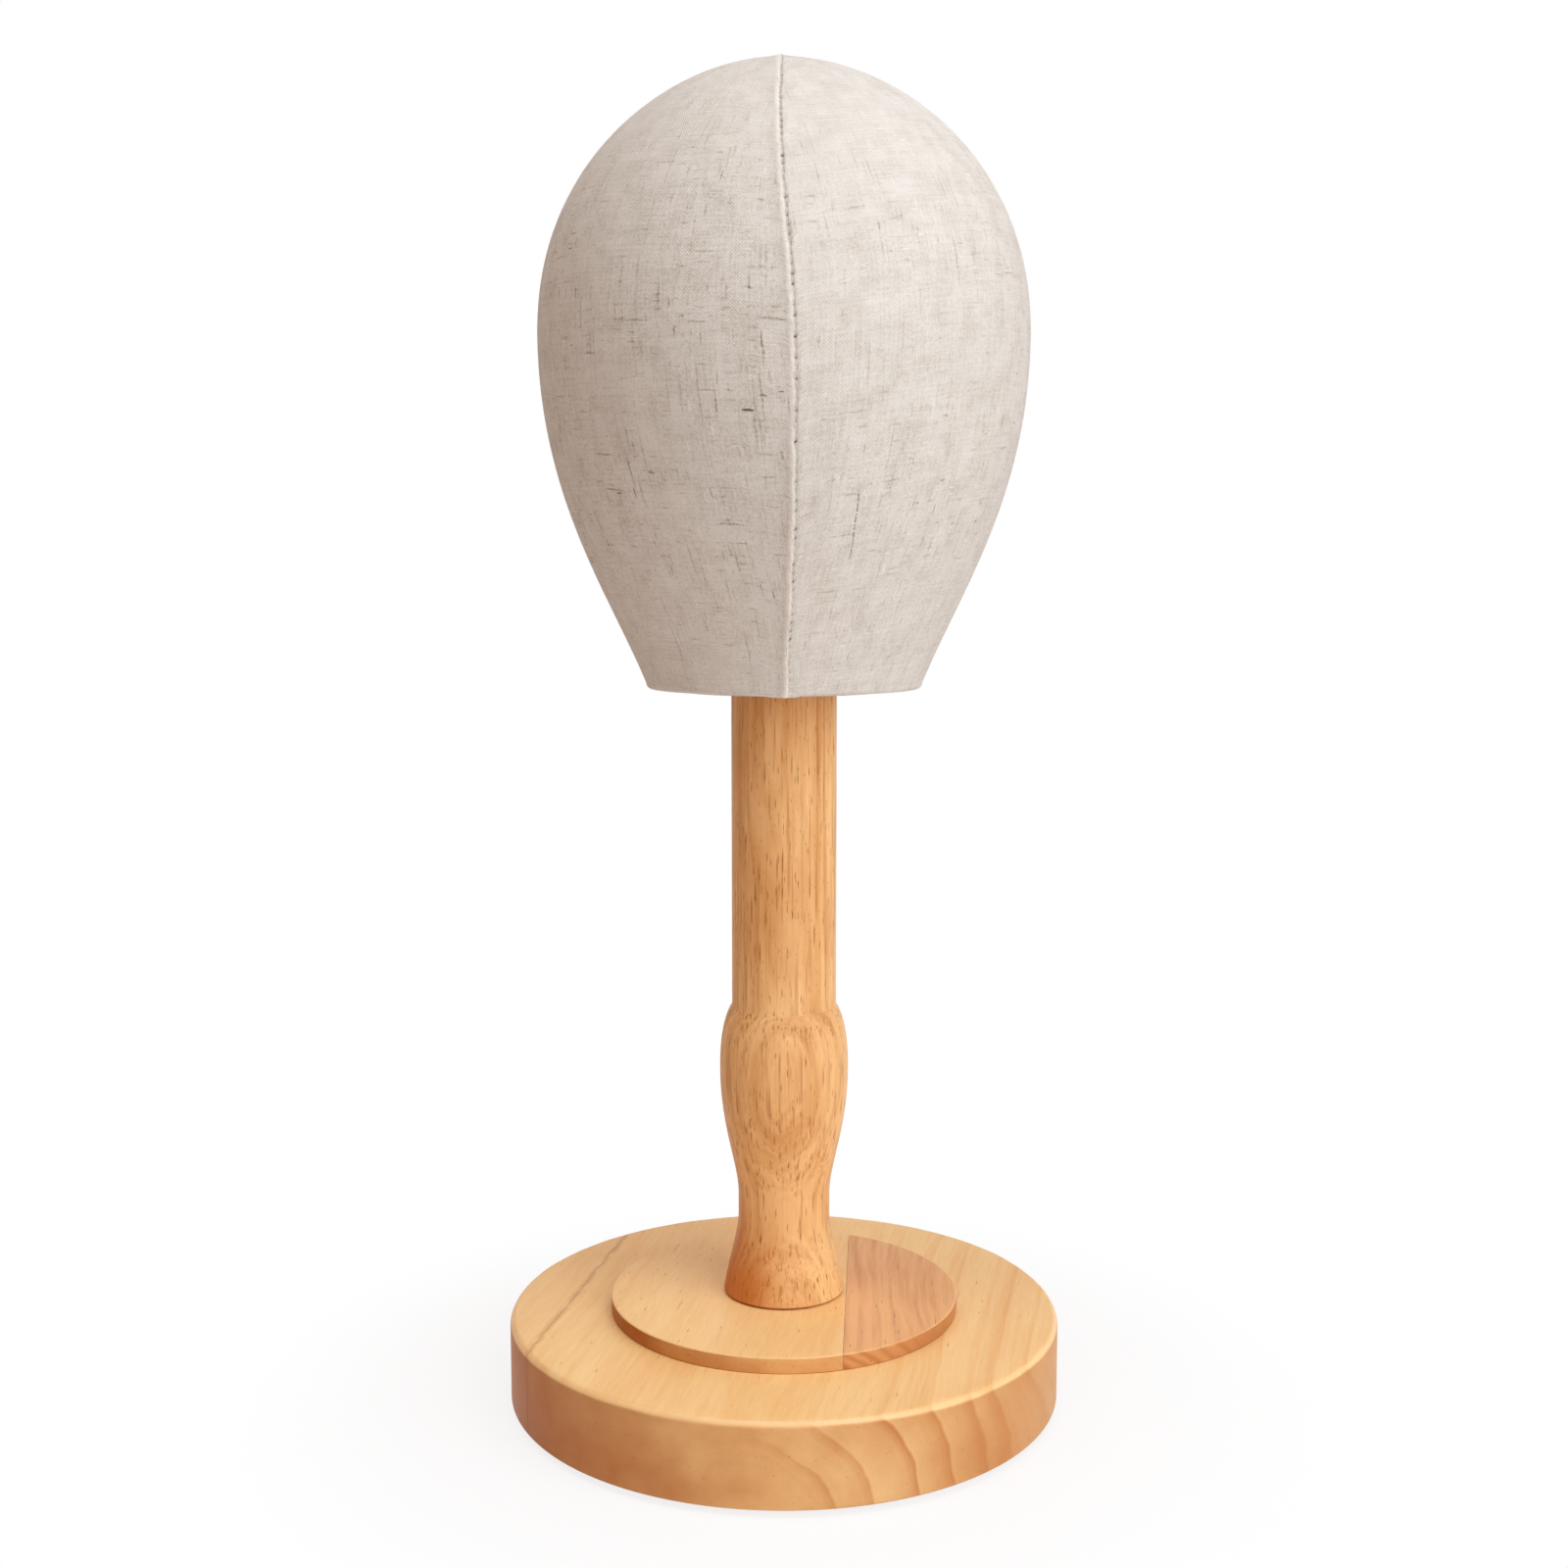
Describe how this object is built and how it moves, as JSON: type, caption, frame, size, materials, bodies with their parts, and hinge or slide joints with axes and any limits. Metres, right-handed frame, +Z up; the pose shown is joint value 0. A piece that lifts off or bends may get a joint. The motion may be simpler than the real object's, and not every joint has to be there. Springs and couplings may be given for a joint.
{
  "type": "mannequin head stand",
  "caption": "Cloth-covered display head that turns and lifts off on a turned wooden post with a round two-tier base, for hats, wigs and headwear.",
  "frame": {"origin": "on the surface the stand rests on, under the axis of the post", "axes": "+Z up along the post; the face of the head looks along -Y"},
  "size_m": [0.185, 0.185, 0.439],
  "materials": {
    "linen": "pale natural linen, fine plain weave with grey-brown slubs",
    "lining_cloth": "plain cotton lining",
    "foam": null,
    "plywood": "sanded plywood",
    "paperboard": "spiral-wound paperboard tube",
    "post_wood": "turned hardwood with open pores, clear satin lacquer",
    "base_wood": "edge-glued hardwood, clear satin lacquer",
    "tier_wood_light": "pale board, clear satin lacquer",
    "tier_wood_dark": "pinkish striped board, clear satin lacquer",
    "zinc_steel": "zinc-plated",
    "insert_brass": "plain turned",
    "pad_rubber": "matt self-adhesive pad"
  },
  "bodies": {
    "stand": {"base_pad_1": "pad_rubber", "base_pad_2": "pad_rubber", "base_pad_3": "pad_rubber", "base_pad_4": "pad_rubber", "base_board_wide": "base_wood", "base_board_narrow": "base_wood", "tier_board_light": "tier_wood_light", "tier_board_dark": "tier_wood_dark", "post": "post_wood", "bolt_washer": "zinc_steel", "centre_bolt": "zinc_steel", "post_insert": "insert_brass"},
    "socket": {"socket_tube": "paperboard", "socket_stop": "plywood"},
    "head": {"head_core": "foam", "neck_ring": "plywood", "neck_lining": "lining_cloth", "cover_left": "linen", "cover_right": "linen"}
  },
  "joints": [
    {"name": "head_lift", "type": "slide", "parent": "stand", "child": "socket", "axis": [0, 0, 1], "range_m": [0, 0.095]},
    {"name": "head_turn", "type": "hinge", "parent": "socket", "child": "head", "pos_m": [0, 0, 0.2396], "axis": [0, 0, 1], "continuous": true}
  ]
}
